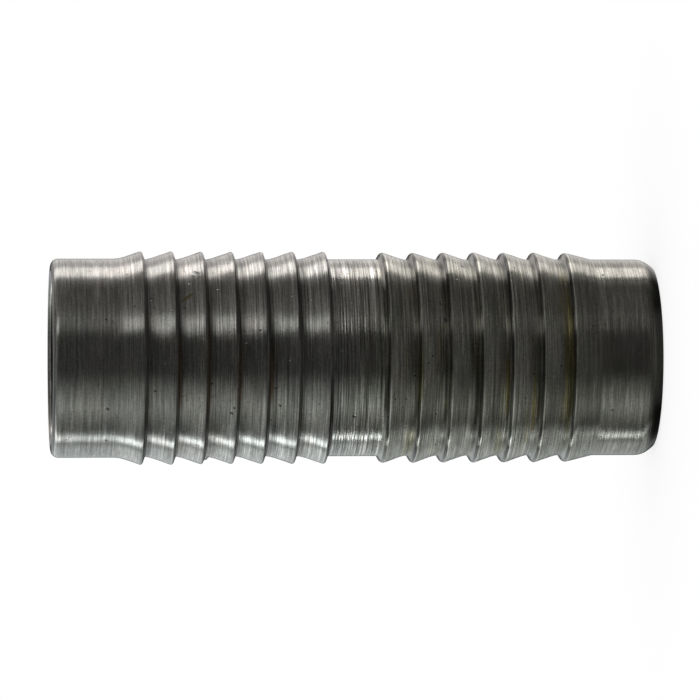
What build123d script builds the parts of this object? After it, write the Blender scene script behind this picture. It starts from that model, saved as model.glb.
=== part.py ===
from build123d import *
import os
from math import radians, tan

# Hose mender: a steel tube turned from one piece of bar, with seven barbs on each half.
# A hose is pushed over each end, as far as the plain land in the middle.
# Millimetres. The tube stands on one end: its axis is Z and the lower end face is at Z = 0.

# Bore
BORE_DIAMETER = 21.6
BORE_CHAMFER = 0.4

# Barbs, which stand on the wall that the grooves and the middle land leave
GROOVE_WALL = 1.7
BARB_COUNT = 7
BARB_PITCH = 3.89
RAMP_ANGLE = 19.3  # degrees from the axis
STEEP_ANGLE = 16.0  # degrees from square to the axis
UPPER_BARB_HEIGHT = 1.08
LOWER_BARB_HEIGHT = 1.0

# Middle land, between the two innermost crests
MIDDLE_LENGTH = 7.3

# Plain ends, which guide a hose onto the outermost barb, were not cut alike
SHANK_LENGTH = 11.5  # end face to the outermost crest
UPPER_SHANK_WALL = 1.85
UPPER_LEAD_ANGLE = 19.3
UPPER_LEAD_BLEND = 4.2
LOWER_SHANK_WALL = 1.72
LOWER_LEAD_ANGLE = 14.0

# Outer rims: the upper is a small chamfer, the lower a long one that blends into the shank
UPPER_RIM_CHAMFER = 0.65
LOWER_RIM_LENGTH = 1.4
LOWER_RIM_DEPTH = 1.1
LOWER_RIM_BLEND = 2.2

bore_radius = BORE_DIAMETER / 2
groove_radius = bore_radius + GROOVE_WALL
first_crest = MIDDLE_LENGTH / 2
last_crest = first_crest + (BARB_COUNT - 1) * BARB_PITCH
half_length = last_crest + SHANK_LENGTH


def barb(crest, height, ramp_angle, foot_radius, foot_blend=0):
    """Corners of a steep face and a ramp, each a radius, a distance and a rounding."""
    crest_radius = groove_radius + height
    steep_run = height * tan(radians(STEEP_ANGLE))
    ramp_run = (crest_radius - foot_radius) / tan(radians(ramp_angle))
    return [
        (groove_radius, crest - steep_run, 0),
        (crest_radius, crest, 0),
        (foot_radius, crest + ramp_run, foot_blend),
    ]


def mouth(shank_radius, rim_length, rim_depth, rim_blend):
    """Corners of the outer rim, the end face and the bore's chamfer."""
    return [
        (shank_radius, half_length - rim_length, rim_blend),
        (shank_radius - rim_depth, half_length, 0),
        (bore_radius + BORE_CHAMFER, half_length, 0),
        (bore_radius, half_length - BORE_CHAMFER, 0),
    ]


def half_outline(barb_height, shank_wall, lead_angle, lead_blend, rim):
    """Corners of one half, from the middle of the tube along the outside and round the mouth."""
    shank_radius = bore_radius + shank_wall
    corners = []
    for number in range(BARB_COUNT - 1):
        corners += barb(first_crest + number * BARB_PITCH, barb_height, RAMP_ANGLE, groove_radius)
    corners += barb(last_crest, barb_height, lead_angle, shank_radius, lead_blend)
    return corners + mouth(shank_radius, *rim)


def hose_mender():
    upper_rim = (UPPER_RIM_CHAMFER, UPPER_RIM_CHAMFER, 0)
    lower_rim = (LOWER_RIM_LENGTH, LOWER_RIM_DEPTH, LOWER_RIM_BLEND)
    upper = half_outline(UPPER_BARB_HEIGHT, UPPER_SHANK_WALL, UPPER_LEAD_ANGLE, UPPER_LEAD_BLEND, upper_rim)
    lower = half_outline(LOWER_BARB_HEIGHT, LOWER_SHANK_WALL, LOWER_LEAD_ANGLE, 0, lower_rim)
    outline = [(radius, half_length + away, blend) for radius, away, blend in upper]
    outline += [(radius, half_length - away, blend) for radius, away, blend in reversed(lower)]
    points = [(radius, 0, height) for radius, height, blend in outline]
    roundings = [blend for radius, height, blend in outline]
    section = make_face(FilletPolyline(*points, radius=roundings, close=True))
    return revolve(section, axis=Axis.Z)


os.makedirs("parts", exist_ok=True)
export_step(hose_mender(), "parts/hose_mender.step")
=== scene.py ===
import bpy
from math import acos, ceil, cos, degrees, pi, radians, sin, tan
from types import SimpleNamespace
from mathutils import Matrix, Vector, noise


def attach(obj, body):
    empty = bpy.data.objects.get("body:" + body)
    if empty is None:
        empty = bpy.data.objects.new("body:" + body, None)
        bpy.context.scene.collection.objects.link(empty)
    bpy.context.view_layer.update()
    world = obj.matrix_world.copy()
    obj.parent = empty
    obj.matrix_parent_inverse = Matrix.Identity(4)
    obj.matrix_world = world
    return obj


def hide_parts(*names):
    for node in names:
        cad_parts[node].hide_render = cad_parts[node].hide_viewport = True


# Hose mender: a turned steel tube with seven barbs on each half, standing on one end.
# The shape is given in millimetres and built in metres.
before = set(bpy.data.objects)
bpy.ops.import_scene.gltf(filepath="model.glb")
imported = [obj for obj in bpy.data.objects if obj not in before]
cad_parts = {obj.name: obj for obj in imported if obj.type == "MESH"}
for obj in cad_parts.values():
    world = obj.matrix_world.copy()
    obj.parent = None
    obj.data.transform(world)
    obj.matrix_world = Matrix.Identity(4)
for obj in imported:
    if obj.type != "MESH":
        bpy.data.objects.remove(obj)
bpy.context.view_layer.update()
MM = 0.001
scene = bpy.context.scene
scene.view_settings.view_transform = "Standard"

# Sizes that both halves share
BORE_RADIUS = 10.8
BORE_CHAMFER = 0.4
GROOVE_RADIUS = 12.5
MIDDLE_RADIUS = 12.55
WALL_MIDDLE = (BORE_RADIUS + GROOVE_RADIUS) / 2  # tells the outside from the bore
BARB_PITCH = 3.89
RAMP_ANGLE = 19.3
FIRST_CREST = 3.48
HALF_LENGTH = 38.49

# Roundings that both halves share
GROOVE_ROUNDING = 0.15
RIM_CORNER_ROUNDING = 0.4
MOUTH_ROUNDING = 0.1
BORE_ROUNDING = 0.3

# Sizes of each half, from the middle outwards: each crest's height over the groove and how far it lies beyond
# its even place, both before rounding, then the barbs, the lead from the last crest to the shank, and the rim
UPPER = SimpleNamespace(
    heights=(1.08, 1.08, 1.08, 1.08, 1.08, 1.14, 1.14),
    shifts=(0.16, 0.22, 0.33, 0.24, 0.19, 0.08, 0.11),
    steep_angle=20.0,
    crest_rounding=0.3,
    foot_rounding=5.0,
    shank_radius=12.65,
    lead_angle=19.3,
    lead_rounding=4.2,
    rim_length=0.0,
    rim_depth=0.0,
    rim_rounding=1.0,
)
LOWER = SimpleNamespace(
    heights=(1.01, 1.01, 1.01, 1.01, 1.01, 1.01, 0.94),
    shifts=(0.14, 0.14, 0.1, 0.14, 0.11, 0.11, 0.18),
    steep_angle=30.0,
    crest_rounding=0.55,
    foot_rounding=3.0,
    shank_radius=12.52,
    lead_angle=14.3,
    lead_rounding=1.0,
    rim_length=1.4,
    rim_depth=1.1,
    rim_rounding=2.7,
)

# Rings cut into the middle land: how far either way, over what length they fade out, and the depth, pitch and
# start of each train
MIDDLE_CUT = 3.0
MIDDLE_FADE = 0.5
MIDDLE_RINGS = ((0.007, 0.43, 0.0), (0.005, 0.36, 2.0), (0.003, 0.81, 1.0))

# Wavy barbs: size of the waves, how far over the groove they start, over what height they grow to that size,
# and how they spread around and along the tube
WAVE_SIZE = 0.05
WAVE_START = 0.15
WAVE_GROWTH = 0.5
WAVES_AROUND = 4.0
WAVE_LENGTH = 1.5

# A burr in the groove behind the third barb from the upper end
BURR_HEIGHT = 0.5
BURR_PLACE = 18.72
BURR_ANGLE = pi
BURR_LENGTH = 0.3
BURR_WIDTH = 0.8

# Fineness of the mesh
SEGMENTS = 128
RING_STEP = 0.24
FINE_RING_STEP = 0.07
BORE_RING_STEP = 2.0
ARC_STEP = 10.0
TOUCH = 0.01


def half_outline(half):
    """Corners of one half as (radius, distance from the middle, rounding)."""
    corners = []
    for number, (height, shift) in enumerate(zip(half.heights, half.shifts)):
        crest = FIRST_CREST + number * BARB_PITCH + shift
        crest_radius = GROOVE_RADIUS + height
        last = number == len(half.heights) - 1
        foot = half.shank_radius if last else GROOVE_RADIUS
        angle = half.lead_angle if last else RAMP_ANGLE
        rounding = half.lead_rounding if last else half.foot_rounding
        root = GROOVE_RADIUS if number else MIDDLE_RADIUS
        steep_run = (crest_radius - root) * tan(radians(half.steep_angle))
        ramp_run = (crest_radius - foot) / tan(radians(angle))
        corners.append((root, crest - steep_run, GROOVE_ROUNDING))
        corners.append((crest_radius, crest, half.crest_rounding))
        corners.append((foot, crest + ramp_run, rounding))
    corners.append((half.shank_radius, HALF_LENGTH - half.rim_length, half.rim_rounding))
    if half.rim_depth:
        corners.append((half.shank_radius - half.rim_depth, HALF_LENGTH, RIM_CORNER_ROUNDING))
    corners.append((BORE_RADIUS + BORE_CHAMFER, HALF_LENGTH, MOUTH_ROUNDING))
    corners.append((BORE_RADIUS, HALF_LENGTH - BORE_CHAMFER, BORE_ROUNDING))
    return corners


def rounded_corner(before, here, after, rounding):
    """Points of the arc that replaces one corner."""
    come = (here - before).normalized()
    leave = (after - here).normalized()
    turn = acos(max(-1.0, min(1.0, come.dot(leave))))
    reach = rounding * tan(turn / 2)
    side = 1 if come.x * leave.y - come.y * leave.x > 0 else -1
    start = here - come * reach
    centre = start + Vector((-come.y, come.x)) * side * rounding
    arm = start - centre
    steps = max(2, ceil(degrees(turn) / ARC_STEP))
    return [centre + Matrix.Rotation(side * turn * step / steps, 2) @ arm for step in range(steps + 1)]


def ring_step(point, after):
    """Distance between rings: wide in the bore, fine on the middle land."""
    if point.x < BORE_RADIUS + TOUCH and after.x < BORE_RADIUS + TOUCH:
        return BORE_RING_STEP
    if abs(point.y - HALF_LENGTH) < FIRST_CREST and abs(after.y - HALF_LENGTH) < FIRST_CREST:
        return FINE_RING_STEP
    return RING_STEP


def smooth_outline(corners):
    """The closed outline with its corners rounded and its long sides divided."""
    places = [Vector(corner[:2]) for corner in corners]
    points = []
    for index, corner in enumerate(corners):
        after = places[(index + 1) % len(places)]
        points += rounded_corner(places[index - 1], places[index], after, corner[2])
    divided = []
    for index, point in enumerate(points):
        after = points[(index + 1) % len(points)]
        steps = max(1, ceil((after - point).length / ring_step(point, after)))
        divided += [point.lerp(after, step / steps) for step in range(steps)]
    return divided


def cut_by_tool(point):
    """The point moved by the rings that the cutting tool left on the middle land."""
    away = point.y - HALF_LENGTH
    if point.x < WALL_MIDDLE or abs(away) > MIDDLE_CUT:
        return point
    fade = min(1.0, (MIDDLE_CUT - abs(away)) / MIDDLE_FADE)
    depth = sum(size * sin(2 * pi * away / pitch + start) for size, pitch, start in MIDDLE_RINGS)
    return Vector((point.x + depth * fade, point.y))


def uneven(point, angle):
    """How far the outside departs from a true circle: a little on the barbs, and one burr."""
    barb = min(1.0, max(0.0, (point.x - GROOVE_RADIUS - WAVE_START) / WAVE_GROWTH))
    place = Vector((cos(angle) * WAVES_AROUND, sin(angle) * WAVES_AROUND, point.y / WAVE_LENGTH))
    rise = WAVE_SIZE * barb * noise.noise(place)
    if point.x > WALL_MIDDLE:
        away = (point.y - HALF_LENGTH - BURR_PLACE) / BURR_LENGTH
        around = (angle - BURR_ANGLE) * GROOVE_RADIUS / BURR_WIDTH
        rise += BURR_HEIGHT * max(0.0, 1.0 - away * away - around * around)
    return rise


def turned_body():
    corners = [(radius, HALF_LENGTH + away, rounding) for radius, away, rounding in half_outline(UPPER)]
    lower = reversed(half_outline(LOWER))
    corners += [(radius, HALF_LENGTH - away, rounding) for radius, away, rounding in lower]
    outline = [cut_by_tool(point) for point in smooth_outline(corners)]
    vertices = []
    for point in outline:
        for segment in range(SEGMENTS):
            angle = 2 * pi * segment / SEGMENTS
            radius = point.x + uneven(point, angle)
            vertices.append((radius * cos(angle) * MM, radius * sin(angle) * MM, point.y * MM))
    faces = []
    for ring in range(len(outline)):
        above = (ring + 1) % len(outline)
        for segment in range(SEGMENTS):
            beside = (segment + 1) % SEGMENTS
            faces.append((
                ring * SEGMENTS + segment,
                ring * SEGMENTS + beside,
                above * SEGMENTS + beside,
                above * SEGMENTS + segment,
            ))
    mesh = bpy.data.meshes.new("turned_body")
    mesh.from_pydata(vertices, [], faces)
    mesh.shade_smooth()
    mesh.update()
    body = bpy.data.objects.new("turned_body", mesh)
    scene.collection.objects.link(body)
    return body


class Nodes:
    """Adds nodes to a node tree, each from plain values or other nodes' outputs."""

    def __init__(self, tree):
        self.tree = tree
        tree.nodes.clear()

    def add(self, kind, output=0, settings=None, **inputs):
        """A new node's output. An input is named by its name, or by its number after an underscore."""
        node = self.tree.nodes.new(kind)
        for name, value in (settings or {}).items():
            setattr(node, name, value)
        for name, value in inputs.items():
            socket = node.inputs[int(name[1:])] if name[0] == "_" else node.inputs[name.replace("_", " ")]
            if isinstance(value, bpy.types.NodeSocket):
                self.tree.links.new(value, socket)
            else:
                socket.default_value = value
        return node.outputs[output]

    def split(self, vector):
        node = self.tree.nodes.new("ShaderNodeSeparateXYZ")
        self.tree.links.new(vector, node.inputs[0])
        return tuple(node.outputs)

    def ray(self, kind):
        return self.add("ShaderNodeLightPath", output=kind)

    def math(self, operation, first, second=0.0, third=0.0):
        return self.add("ShaderNodeMath", settings={"operation": operation}, _0=first, _1=second, _2=third)

    def times(self, first, second):
        return self.math("MULTIPLY", first, second)

    def plus(self, first, second):
        return self.math("ADD", first, second)

    def centred(self, value):
        """Noise from 0 to 1, moved so that its middle is 0."""
        return self.plus(value, -0.5)

    def ramp(self, value, low, high, start=0.0, end=1.0):
        """start up to low, end from high on, and smooth between. Low may also lie above high."""
        return self.add(
            "ShaderNodeMapRange",
            settings={"interpolation_type": "SMOOTHSTEP"},
            Value=value, From_Min=low, From_Max=high, To_Min=start, To_Max=end,
        )

    def band(self, value, centre, outer, inner, start=0.0, end=1.0):
        """start beyond outer from the centre, end within inner of it, and smooth between."""
        return self.ramp(self.math("ABSOLUTE", self.plus(value, -centre)), outer, inner, start, end)

    def within(self, distance, reach, softness):
        """1 nearer than reach, 0 farther, with a soft edge."""
        return self.ramp(distance, reach - softness / 2, reach + softness / 2, 1.0, 0.0)

    def vector(self, operation, first, output=0, scale=1.0):
        settings = {"operation": operation}
        return self.add("ShaderNodeVectorMath", output=output, settings=settings, _0=first, _3=scale)

    def noise(self, place, scale, detail):
        return self.add("ShaderNodeTexNoise", Vector=place, Scale=scale, Detail=detail)

    def mix(self, share, first, second):
        settings = {"data_type": "RGBA"}
        return self.add("ShaderNodeMix", output=2, settings=settings, _0=share, _6=first, _7=second)

    def finish(self, kind, shader):
        node = self.tree.nodes.new(kind)
        self.tree.links.new(shader, node.inputs["Surface"])


# World: white for the camera, and a dark studio with soft cards for what the metal reflects
WHITE = (1, 1, 1, 1)
DARK_ROOM = 0.014
WARM = (1.035, 1.0, 1.0)
PALE = (1.0, 1.0, 1.0)
GREENISH = (0.94, 1.0, 0.97)
BLUISH = (0.94, 1.0, 1.03)

# Each card's tint, azimuth, half width and its softness, elevation, half height and its softness, brightness.
# Angles are in degrees. Azimuth runs from the camera's side towards the picture's top.
CARDS = {
    "upper background": (WARM, 138, 30, 5, 20, 48, 16, 0.58),
    "upper background edge": (WARM, 158, 12, 10, 20, 48, 16, 0.16),
    "lower background": (BLUISH, -142, 25, 8, 20, 48, 16, 0.4),
    "lower background glow": (BLUISH, -144, 23, 12, 36, 36, 24, 0.4),
    "key": (WARM, 119, 11, 4, 20, 40, 40, 0.9),
    "key top": (WARM, 119, 15, 6, 45, 40, 12, 0.25),
    "key shoulder": (WARM, 101, 5, 12, 0, 60, 40, 0.12),
    "strip": (BLUISH, -105.0, 4.0, 3, 20, 40, 50, 1.9),
    "strip top": (BLUISH, -106, 7, 5, 47, 40, 12, 0.9),
    "ceiling": (PALE, 0, 200, 2, 90, 16, 16, 0.35),
    "ground": (PALE, 0, 200, 2, -90, 30, 12, 0.2),
    "lower glow": (GREENISH, -60, 23, 48, 15, 40, 60, 0.3),
    "lower glow core": (GREENISH, -60, 8, 16, 15, 40, 60, 0.06),
    "upper glow": (PALE, 43.5, 9, 2, 40, 15, 26, 0.98),
    "upper glow tail": (PALE, 58, 8, 16, 40, 15, 30, 0.14),
    "upper glow low": (PALE, 44, 12, 12, 10, 50, 60, 0.03),
    "side fill": (WARM, 75, 30, 30, 15, 35, 60, 0.08),
}

# The cards lean between two elevations: those above the tube in the picture by the square of the elevation,
# those below it in step with the elevation. Each lean is 0 at its first azimuth and full at its second.
LEAN_LEVELS = (-30.0, 40.0)
LEAN_ABOVE = -0.02
LEAN_ABOVE_AZIMUTHS = (60.0, 100.0)
LEAN_BELOW = 0.35
LEAN_BELOW_LEVEL = -5.0
LEAN_BELOW_AZIMUTHS = (-60.0, -95.0)


def leaning(nodes, azimuth, elevation):
    """The azimuth at which a card is looked up."""
    lowest, highest = LEAN_LEVELS
    level = nodes.math("MINIMUM", nodes.math("MAXIMUM", elevation, lowest), highest)
    above = nodes.times(nodes.times(level, level), LEAN_ABOVE)
    above = nodes.times(above, nodes.ramp(azimuth, *LEAN_ABOVE_AZIMUTHS))
    below = nodes.times(nodes.plus(level, -LEAN_BELOW_LEVEL), LEAN_BELOW)
    below = nodes.times(below, nodes.ramp(azimuth, *LEAN_BELOW_AZIMUTHS))
    return nodes.plus(azimuth, nodes.plus(above, below))


def card_light(nodes):
    """Light from all cards in the direction looked at."""
    across, away, up = nodes.split(nodes.add("ShaderNodeTexCoord", output="Generated"))
    azimuth = nodes.times(nodes.math("ARCTAN2", across, nodes.times(away, -1.0)), 180 / pi)
    elevation = nodes.times(nodes.math("ARCSINE", up), 180 / pi)
    azimuth = leaning(nodes, azimuth, elevation)
    light = (DARK_ROOM, DARK_ROOM, DARK_ROOM)
    for tint, centre, half, soft, height, half_height, soft_height, brightness in CARDS.values():
        beside = nodes.math("ABSOLUTE", nodes.math("WRAP", nodes.plus(azimuth, -centre), 180.0, -180.0))
        above = nodes.math("ABSOLUTE", nodes.plus(elevation, -height))
        amount = nodes.times(nodes.within(beside, half, soft), nodes.within(above, half_height, soft_height))
        amount = nodes.times(amount, brightness)
        settings = {"operation": "MULTIPLY_ADD"}
        light = nodes.add("ShaderNodeVectorMath", settings=settings, _0=amount, _1=tint, _2=light)
    return light


def studio():
    world = bpy.data.worlds.new("studio")
    scene.world = world
    world.use_nodes = True
    nodes = Nodes(world.node_tree)
    seen = nodes.add("ShaderNodeBackground", Color=WHITE, Strength=1.0)
    plain = nodes.add("ShaderNodeBackground", Color=WHITE, Strength=1.0)
    reflected = nodes.add("ShaderNodeBackground", Color=card_light(nodes), Strength=1.0)
    lit = nodes.add("ShaderNodeMixShader", _0=nodes.ray("Is Glossy Ray"), _1=plain, _2=reflected)
    both = nodes.add("ShaderNodeMixShader", _0=nodes.ray("Is Camera Ray"), _1=lit, _2=seen)
    nodes.finish("ShaderNodeOutputWorld", both)


# Steel: colours, and the share of each where it is strongest
STEEL = (0.49, 0.49, 0.455, 1)
YELLOWED_STEEL = (0.49, 0.487, 0.425, 1)
WARM_STEEL = (0.52, 0.475, 0.44, 1)
BRIGHT_STEEL = (0.96, 0.96, 0.94, 1)
BROWN = (0.34, 0.2, 0.1, 1)
OLIVE = (0.44, 0.38, 0.1, 1)
GOLD = (0.3, 0.24, 0.1, 1)
WARM_SHARE = 0.35
STAIN_SHARE = 0.65
GOLD_SHARE = 0.75

# Where the parts of the tube are: in mm from the axis (radii), above the middle (heights) or either way from
# it (reach). Facing is 1 on the end faces, 0 on the shanks and below 0 on the steep faces of the barbs.
# Of each pair the first value is where the part's mask is 0 and the second where it is 1.
BORE_RADII = (10.95, 11.4)
MOUTH_RADII = (11.3, 11.2)
MOUTH_REACH = (38.05, 38.15)
LOWER_HEIGHTS = (4.0, -4.0)
LOWER_SHANK_HEIGHTS = (-26.5, -34.5)
LOWER_RIM_HEIGHTS = (-36.8, -37.8)
UPPER_RIM_HEIGHTS = (37.0, 37.3)
MIDDLE_REACH = (3.6, 2.6)
GROOVED_REACH = (3.3, 3.6)
BARBED_REACH = (27.6, 27.2)
FOOT_RADII = (12.75, 12.5)
TALL_RADII = (13.1, 13.2)
STAINED_RADII = (13.1, 12.6)
STEEP_FACING = (-0.3, -0.8)

# Bands of facing: centre, half width where the mask is 0, half width where it is 1
EDGE_FACING = (-0.46, 0.36, 0.26)
CREST_FACING = (0.08, 0.2, 0.1)
UPPER_RIM_FACING = (0.83, 0.2, 0.12)

# Rings round the tube: pitch in mm, how often they change around, detail
FINE_RINGS = (0.18, 1.0, 1.0)
COARSE_RINGS = (0.42, 0.8, 2.0)
HAIR_RINGS = (0.13, 6.0, 0.0)
# The next rings make the painted shade at the feet of the barbs patchy
FOOT_SHADE_RINGS = (2.2, 1.2, 2.0)
STAIN_RINGS = (1.6, 1.7, 3.0)

# How rough the turning is: its centre, how far from there it is weakest and strongest, both strengths, and
# what the middle land adds. Coarse rings are deeper than fine ones.
ROUGH_TURNING = (-2.0, 34.0, 12.0, 0.42, 0.8)
ROUGH_MIDDLE = 0.35
COARSE_DEPTH = 1.2

# Noise that is alike in all directions: scale and detail
GRAIN = (3.5, 2.0)
PATCHES = (0.22, 3.0)
SPECKS = (2.6, 1.0)
PIT_SCALE = 0.5

# Where noise turns into marks: the values where a mark is weakest and strongest, then the mark's weakest and
# strongest where these aren't 0 and 1
PIT_SIZE = (0.1, 0.04)
SPECK_NOISE = (0.3, 0.22)
SPECK_PATCHES = (0.42, 0.6)
WARM_PATCHES = (0.4, 0.65)
# The next row is for the painted shade at the feet of the barbs
FOOT_SHADE_NOISE = (0.35, 0.6, 0.45, 1.0)
STAIN_NOISE = (0.5, 0.62)
STREAKED_STAINS = (0.25, 0.6, 0.55, 1.0)
UPPER_STAIN = 0.15
LOWER_STAIN = 0.25
MARK_EDGE = (1.2, 0.4)

# How much each thing lightens or, below 0, darkens the steel, painted shade and painted highlights among them
FINE_SHADE = 2.6
COARSE_SHADE = 1.6
HAIR_SHADE = 0.8
GRAIN_SHADE = 0.7
PATCH_SHADE = 0.3
# Painted shade at the feet of the barbs
FOOT_PAINTED_SHADE = -0.28
# Painted shade on the steep faces of the barbs
STEEP_PAINTED_SHADE = -0.55
# Painted shade: a dark line on the rounding between each crest and its steep face, darker on the lower half
EDGE_PAINTED_SHADE = -0.35
LOWER_EDGE_PAINTED_SHADE = -0.4
# Painted highlight along the crests of the lower barbs
CREST_PAINTED_HIGHLIGHT = 0.5
# Painted light: the barbs of the lower half made lighter
LOWER_BARB_PAINTED_LIGHT = 0.1
PIT_SHADE = -0.65
SPECK_SHADE = -0.5
# Painted shade on the rounded rim of the lower end
LOWER_RIM_PAINTED_SHADE = -0.8
# Painted shade on the rim of the upper end
UPPER_RIM_PAINTED_SHADE = -0.75
# Painted highlight on the chamfers at the mouths of the bore
MOUTH_PAINTED_HIGHLIGHT = 0.6
# Painted shade inside the bore
BORE_PAINTED_SHADE = -0.7
MIDDLE_SHADE = 0.1
LOWER_SHANK_SHADE = -0.12

# Roughness and what changes it, and how far the rings draw out the highlights
ROUGHNESS = 0.29
PATCH_ROUGHNESS = 0.1
FOOT_AND_STAIN_ROUGHNESS = 0.05
PLAIN_ROUGHNESS = -0.06
BORE_ROUGHNESS = 0.2
ANISOTROPY = 0.9
ANISOTROPY_TURN = 0.25

# Bump: the height that counts as 1, in mm, and the share of each thing in it
BUMP_HEIGHT = 0.045
GRAIN_BUMP = 0.12
PIT_BUMP = -0.8
SPECK_BUMP = -0.3

# Marks: height above the middle, angle from the camera's side towards the picture's top, half length, half
# width and tilt
PITS = (
    (26.1, 36.0, 0.22, 0.16, 0.0),
    (31.6, -30.0, 0.26, 0.18, 40.0),
    (16.1, -31.0, 0.28, 0.22, 20.0),
    (20.25, 54.6, 0.65, 0.11, 54.0),
    (-10.3, 33.0, 0.3, 0.16, 80.0),
    (-10.8, 22.0, 0.35, 0.14, 70.0),
    (-13.6, 65.0, 0.3, 0.2, 0.0),
    (0.6, -36.0, 0.3, 0.22, 60.0),
)
STAINS = (
    (-26.4, -2.0, 0.7, 11.0, 0.0),
    (-22.1, -28.0, 0.35, 5.0, 0.0),
    (-18.6, -16.0, 0.35, 4.5, 0.0),
    (-7.5, -10.0, 0.35, 4.5, 0.0),
    (11.1, -8.0, 0.35, 4.5, 0.0),
    (15.1, -10.0, 0.35, 5.0, 0.0),
    (19.0, -8.0, 0.4, 6.5, 0.0),
    (22.6, -8.0, 0.4, 5.5, 0.0),
)
SCRATCHES = ((20.6, 53.4, 0.65, 0.14, 54.0), (7.4, -50.0, 0.35, 0.1, 60.0))
GOLD_SMEARS = ((21.6, 36.5, 0.95, 0.3, -34.0),)


class Place:
    """Where a point of the steel lies, in mm and radians, each as a node's output."""

    def __init__(self, nodes):
        self.nodes = nodes
        self.point = nodes.vector("SCALE", nodes.add("ShaderNodeTexCoord", output="Object"), scale=1 / MM)
        across, away, up = nodes.split(self.point)
        flat = nodes.add("ShaderNodeCombineXYZ", _0=across, _1=away, _2=0.0)
        self.around = nodes.vector("NORMALIZE", flat)
        self.radius = nodes.vector("LENGTH", flat, output=1)
        self.turned = nodes.math("ARCTAN2", across, nodes.times(away, -1.0))
        self.height = nodes.plus(up, -HALF_LENGTH)
        self.reach = nodes.math("ABSOLUTE", self.height)
        side = nodes.math("SIGN", self.height)
        self.along = nodes.plus(self.height, nodes.times(nodes.times(side, self.radius), -1.0))
        normal = nodes.add("ShaderNodeTexCoord", output="Normal")
        self.facing = nodes.times(side, nodes.split(normal)[2])

    def ring_noise(self, pitch, turns, detail):
        """Noise drawn out round the tube."""
        nodes = self.nodes
        across, away, _ = nodes.split(nodes.vector("SCALE", self.around, scale=turns))
        rising = nodes.times(self.along, 1.0 / pitch)
        return nodes.noise(nodes.add("ShaderNodeCombineXYZ", _0=across, _1=away, _2=rising), 1.0, detail)

    def mark(self, height, angle, half_length, half_width, tilt):
        """1 inside a small oval on the outside, 0 away from it."""
        nodes = self.nodes
        beside = nodes.plus(self.height, -height)
        above = nodes.times(nodes.plus(self.turned, -radians(angle)), MIDDLE_RADIUS)
        lean = radians(tilt)
        length = nodes.times(beside, cos(lean) / half_length)
        length = nodes.plus(length, nodes.times(above, sin(lean) / half_length))
        width = nodes.times(beside, -sin(lean) / half_width)
        width = nodes.plus(width, nodes.times(above, cos(lean) / half_width))
        return nodes.ramp(nodes.plus(nodes.times(length, length), nodes.times(width, width)), *MARK_EDGE)

    def marks(self, table, start=0.0):
        """The strongest of start and all marks of a table."""
        strongest = start
        for row in table:
            strongest = self.nodes.math("MAXIMUM", strongest, self.mark(*row))
        return strongest


class Masks:
    """Which part of the tube a point is on: 1 on it, 0 away from it."""

    def __init__(self, nodes, place):
        self.mouth = nodes.ramp(place.radius, *MOUTH_RADII)
        self.mouth = nodes.times(self.mouth, nodes.ramp(place.reach, *MOUTH_REACH))
        outside = nodes.math("MAXIMUM", nodes.ramp(place.radius, *BORE_RADII), self.mouth)
        self.bore = nodes.plus(1.0, nodes.times(outside, -1.0))
        self.lower = nodes.ramp(place.height, *LOWER_HEIGHTS)
        self.lower_shank = nodes.ramp(place.height, *LOWER_SHANK_HEIGHTS)
        self.lower_rim = nodes.ramp(place.height, *LOWER_RIM_HEIGHTS)
        self.middle = nodes.ramp(place.reach, *MIDDLE_REACH)
        self.barbed = nodes.ramp(place.reach, *BARBED_REACH)
        self.grooved = nodes.times(self.barbed, nodes.ramp(place.reach, *GROOVED_REACH))
        self.foot = nodes.times(nodes.ramp(place.radius, *FOOT_RADII), self.grooved)
        self.steep = nodes.ramp(place.facing, *STEEP_FACING)
        tall = nodes.times(nodes.ramp(place.radius, *TALL_RADII), self.barbed)
        self.edge = nodes.times(nodes.band(place.facing, *EDGE_FACING), tall)
        self.crest = nodes.times(nodes.times(nodes.band(place.facing, *CREST_FACING), tall), self.lower)
        self.upper_rim = nodes.band(place.facing, *UPPER_RIM_FACING)
        self.upper_rim = nodes.times(self.upper_rim, nodes.ramp(place.height, *UPPER_RIM_HEIGHTS))


class WearAndShade:
    """What turning, use and storage left on the steel, and painted shade at the feet of the barbs."""

    def __init__(self, nodes, place, masks):
        self.fine = place.ring_noise(*FINE_RINGS)
        self.coarse = place.ring_noise(*COARSE_RINGS)
        self.hair = place.ring_noise(*HAIR_RINGS)
        self.grain = nodes.noise(place.point, *GRAIN)
        self.patches = nodes.noise(place.point, *PATCHES)
        self.turning = nodes.band(place.height, *ROUGH_TURNING)
        self.turning = nodes.plus(self.turning, nodes.times(masks.middle, ROUGH_MIDDLE))
        pits = nodes.add("ShaderNodeTexVoronoi", Vector=place.point, Scale=PIT_SCALE, Randomness=1.0)
        self.pit = place.marks(PITS, nodes.ramp(pits, *PIT_SIZE))
        self.speck = nodes.ramp(nodes.noise(place.point, *SPECKS), *SPECK_NOISE)
        self.speck = nodes.times(self.speck, nodes.ramp(self.patches, *SPECK_PATCHES))
        self.scratch = place.marks(SCRATCHES)
        self.gold = place.marks(GOLD_SMEARS)
        # Painted shade at the feet of the barbs, patchy round the tube
        self.foot_shade = nodes.times(masks.foot, nodes.ramp(place.ring_noise(*FOOT_SHADE_RINGS), *FOOT_SHADE_NOISE))
        self.stain = self.stains(nodes, place, masks)

    def stains(self, nodes, place, masks):
        """Faint streaks low on the barbs, and single strong stains."""
        streaks = nodes.ramp(place.ring_noise(*STAIN_RINGS), *STAIN_NOISE)
        streaks = nodes.times(streaks, nodes.ramp(place.radius, *STAINED_RADII))
        strength = nodes.plus(UPPER_STAIN, nodes.times(masks.lower, LOWER_STAIN))
        streaks = nodes.times(streaks, nodes.times(masks.grooved, strength))
        spots = nodes.times(place.marks(STAINS), nodes.ramp(self.fine, *STREAKED_STAINS))
        return nodes.math("MAXIMUM", streaks, spots)


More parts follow.
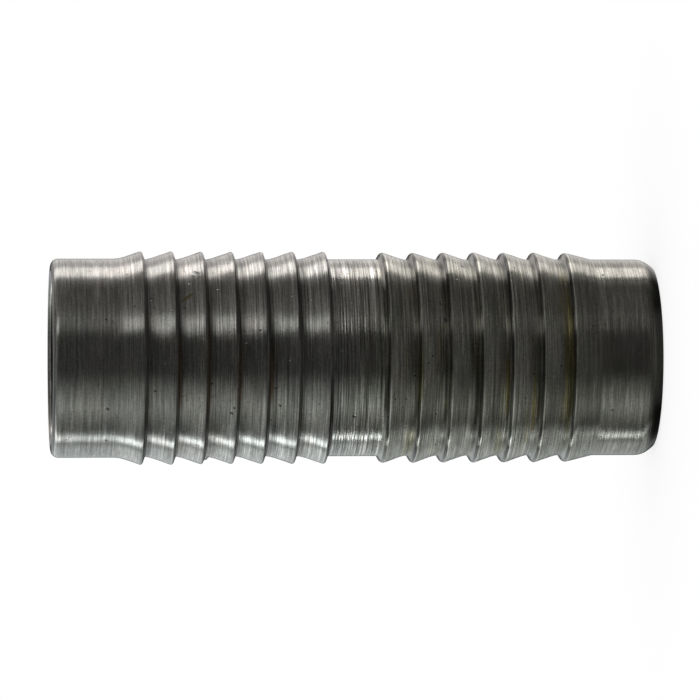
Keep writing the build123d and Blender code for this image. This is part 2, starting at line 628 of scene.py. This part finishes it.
def steel_shade(nodes, masks, wear_and_shade):
    """How light the steel is, as a factor on its colour, from marks on the steel and from painted shade and
    painted highlights.
    """
    # Painted shade along the crest edges, stronger on the lower half
    edge_painted_shade = nodes.plus(EDGE_PAINTED_SHADE, nodes.times(masks.lower, LOWER_EDGE_PAINTED_SHADE))
    changes = (
        (nodes.centred(wear_and_shade.fine), nodes.times(wear_and_shade.turning, FINE_SHADE)),
        (nodes.centred(wear_and_shade.coarse), nodes.times(wear_and_shade.turning, COARSE_SHADE)),
        (nodes.centred(wear_and_shade.hair), HAIR_SHADE),
        (nodes.centred(wear_and_shade.grain), GRAIN_SHADE),
        (nodes.centred(wear_and_shade.patches), PATCH_SHADE),
        (wear_and_shade.foot_shade, FOOT_PAINTED_SHADE),
        (wear_and_shade.pit, PIT_SHADE),
        (wear_and_shade.speck, SPECK_SHADE),
        (masks.steep, STEEP_PAINTED_SHADE),
        (masks.edge, edge_painted_shade),
        (masks.crest, CREST_PAINTED_HIGHLIGHT),
        (nodes.times(masks.lower, masks.barbed), LOWER_BARB_PAINTED_LIGHT),
        (masks.lower_rim, LOWER_RIM_PAINTED_SHADE),
        (masks.upper_rim, UPPER_RIM_PAINTED_SHADE),
        (masks.mouth, MOUTH_PAINTED_HIGHLIGHT),
        (masks.bore, BORE_PAINTED_SHADE),
        (masks.middle, MIDDLE_SHADE),
        (masks.lower_shank, LOWER_SHANK_SHADE),
    )
    shade = 1.0
    for mask, amount in changes:
        shade = nodes.times(shade, nodes.plus(1.0, nodes.times(mask, amount)))
    return shade


def steel_colour(nodes, masks, wear_and_shade, shade):
    tint = nodes.mix(masks.lower, STEEL, YELLOWED_STEEL)
    warm = nodes.times(nodes.ramp(wear_and_shade.patches, *WARM_PATCHES), WARM_SHARE)
    tint = nodes.mix(warm, tint, WARM_STEEL)
    tint = nodes.mix(nodes.times(wear_and_shade.stain, STAIN_SHARE), tint, nodes.mix(masks.lower, BROWN, OLIVE))
    colour = nodes.vector("SCALE", tint, scale=shade)
    colour = nodes.mix(nodes.times(wear_and_shade.gold, GOLD_SHARE), colour, GOLD)
    return nodes.mix(wear_and_shade.scratch, colour, BRIGHT_STEEL)


def steel_roughness(nodes, masks, wear_and_shade):
    changes = (
        (nodes.centred(wear_and_shade.patches), PATCH_ROUGHNESS),
        (nodes.plus(masks.foot, wear_and_shade.stain), FOOT_AND_STAIN_ROUGHNESS),
        (nodes.plus(masks.middle, masks.lower_shank), PLAIN_ROUGHNESS),
        (masks.bore, BORE_ROUGHNESS),
    )
    roughness = ROUGHNESS
    for mask, amount in changes:
        roughness = nodes.plus(roughness, nodes.times(mask, amount))
    return roughness


def steel_bump(nodes, wear_and_shade):
    """Normals of the rings, the grain, the pits and the specks."""
    rings = nodes.plus(wear_and_shade.fine, nodes.times(wear_and_shade.coarse, COARSE_DEPTH))
    rings = nodes.times(nodes.plus(rings, -(1.0 + COARSE_DEPTH) / 2), wear_and_shade.turning)
    heights = nodes.plus(rings, nodes.times(wear_and_shade.grain, GRAIN_BUMP))
    heights = nodes.plus(heights, nodes.times(wear_and_shade.pit, PIT_BUMP))
    heights = nodes.plus(heights, nodes.times(wear_and_shade.speck, SPECK_BUMP))
    return nodes.add("ShaderNodeBump", Strength=1.0, Distance=BUMP_HEIGHT * MM, Height=heights)


def turned_steel():
    material = bpy.data.materials.new("turned steel")
    material.use_nodes = True
    nodes = Nodes(material.node_tree)
    place = Place(nodes)
    masks = Masks(nodes, place)
    wear_and_shade = WearAndShade(nodes, place, masks)
    shader = nodes.add(
        "ShaderNodeBsdfPrincipled",
        Metallic=1.0,
        Anisotropic=ANISOTROPY,
        Anisotropic_Rotation=ANISOTROPY_TURN,
        Base_Color=steel_colour(nodes, masks, wear_and_shade, steel_shade(nodes, masks, wear_and_shade)),
        Roughness=steel_roughness(nodes, masks, wear_and_shade),
        Normal=steel_bump(nodes, wear_and_shade),
        Tangent=nodes.add("ShaderNodeTangent", settings={"direction_type": "RADIAL", "axis": "Z"}),
    )
    nodes.finish("ShaderNodeOutputMaterial", shader)
    return material


# Floor, in metres: mostly white to the camera, so that only a little shadow shows
FLOOR_HALF = 2.0
FLOOR_COLOUR = (0.9, 0.9, 0.9, 1)
FLOOR_WHITENESS = 1.05
FLOOR_WHITE_SHARE = 0.75


def pale_floor():
    half = FLOOR_HALF
    corners = [(-half, -half, 0), (half, -half, 0), (half, half, 0), (-half, half, 0)]
    mesh = bpy.data.meshes.new("floor")
    mesh.from_pydata(corners, [], [(0, 1, 2, 3)])
    floor = bpy.data.objects.new("floor", mesh)
    scene.collection.objects.link(floor)
    material = bpy.data.materials.new("pale floor")
    material.use_nodes = True
    nodes = Nodes(material.node_tree)
    lit = nodes.add("ShaderNodeBsdfDiffuse", Color=FLOOR_COLOUR)
    white = nodes.add("ShaderNodeEmission", Color=WHITE, Strength=FLOOR_WHITENESS)
    share = nodes.times(nodes.ray("Is Camera Ray"), FLOOR_WHITE_SHARE)
    nodes.finish("ShaderNodeOutputMaterial", nodes.add("ShaderNodeMixShader", _0=share, _1=lit, _2=white))
    mesh.materials.append(material)
    floor.visible_glossy = False
    floor.visible_shadow = False


# Camera: the tube lies across the picture, with its upper end on the left and a little nearer
CAMERA_DISTANCE = 727.0
CAMERA_ELEVATION = 4.75
CAMERA_AIM = (0.99, 0.0, 0.28)  # from the middle of the tube
CAMERA_ROLL = 0.09
LENS = 293.1
SENSOR_WIDTH = 36.0
CLIP_START = 0.01
CLIP_END = 10


def camera():
    data = bpy.data.cameras.new("camera")
    data.lens = LENS
    data.sensor_width = SENSOR_WIDTH
    data.clip_start = CLIP_START
    data.clip_end = CLIP_END
    item = bpy.data.objects.new("camera", data)
    scene.collection.objects.link(item)
    lift = radians(CAMERA_ELEVATION)
    back = Vector((0, -cos(lift), sin(lift)))
    roll = Matrix.Rotation(-radians(CAMERA_ROLL), 3, back)
    right = roll @ Vector((0, -sin(lift), -cos(lift)))
    up = roll @ Vector((1, 0, 0))
    target = Vector(CAMERA_AIM) + Vector((0, 0, HALF_LENGTH))
    place = (target + back * CAMERA_DISTANCE) * MM
    turn = Matrix((right, up, back)).transposed()
    item.matrix_world = Matrix.Translation(place) @ turn.to_4x4()
    scene.camera = item


studio()
pale_floor()
body = turned_body()
body.data.materials.append(turned_steel())
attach(body, "root")
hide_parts("hose_mender")
camera()
